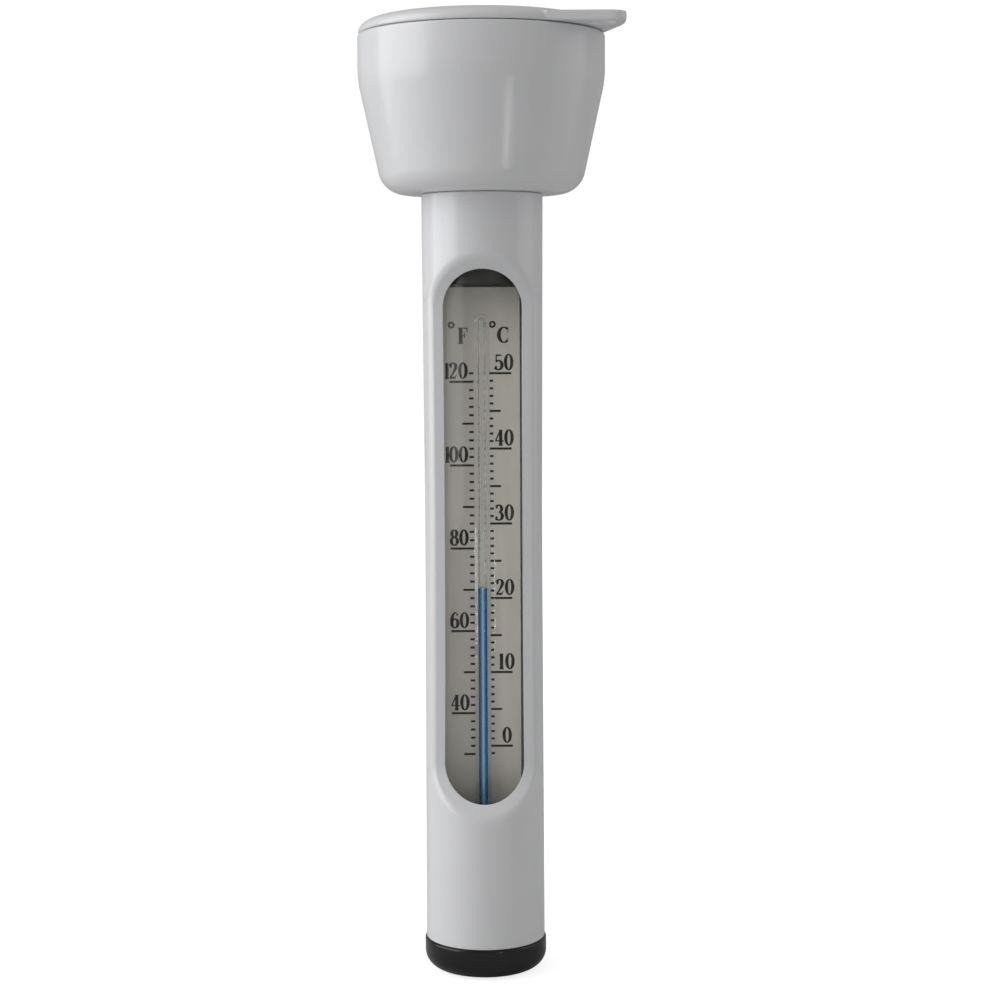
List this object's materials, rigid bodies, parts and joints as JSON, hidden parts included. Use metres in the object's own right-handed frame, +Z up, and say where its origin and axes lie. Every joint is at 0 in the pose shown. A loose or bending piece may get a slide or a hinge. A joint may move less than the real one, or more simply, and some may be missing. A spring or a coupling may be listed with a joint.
{
  "type": "floating pool thermometer",
  "caption": "Floating spirit thermometer for a pool: a windowed stem with a dual scale card, hung from a conical float whose lid has a tether tab.",
  "frame": {"origin": "centre of the end cap's flat base, on the stem's axis", "axes": "+Z up the stem towards the float, the reading window faces -Y, the tether tab points towards +X and -Y"},
  "size_m": [0.0519, 0.0488, 0.19],
  "materials": {
    "white_plastic": "smooth moulded, soft gloss",
    "black_plastic": "smooth moulded, satin gloss",
    "black_rubber": "smooth moulded rubber",
    "white_foam": "closed-cell foam",
    "clear_plastic": "clear extruded tube",
    "scale_card": "matt printed card",
    "stem_glass": "drawn clear glass",
    "blue_spirit": "dyed spirit",
    "plated_steel": "turned, zinc plated"
  },
  "bodies": {
    "root": {"stem_case": "white_plastic", "float_cup": "white_plastic", "foam_core": "white_foam", "retaining_ring": "white_plastic", "neck_seal": "black_rubber", "neck_plug": "black_rubber", "scale_tube": "clear_plastic", "upper_plug": "black_rubber", "lower_plug": "black_rubber", "scale_plate": "scale_card", "thermometer_glass": "stem_glass", "spirit_reservoir": "blue_spirit", "stem_clip": "clear_plastic", "upper_cushion": "white_foam", "lower_cushion": "black_rubber", "ballast_weight": "plated_steel"},
    "spirit": {"spirit_thread": "blue_spirit"},
    "cap": {"end_cap": "black_plastic"},
    "lid": {"float_lid": "white_plastic", "lid_seal": "black_rubber"}
  },
  "joints": [
    {"name": "spirit_rise", "type": "slide", "parent": "root", "child": "spirit", "axis": [0, 0, 1], "range_m": [-0.03257, 0.04283], "deforming": ["spirit_thread"]},
    {"name": "end_cap_pull", "type": "slide", "parent": "root", "child": "cap", "axis": [0, 0, -1], "range_m": [0, 0.012]},
    {"name": "lid_lift", "type": "slide", "parent": "root", "child": "lid", "axis": [0, 0, 1], "range_m": [0, 0.012]}
  ]
}
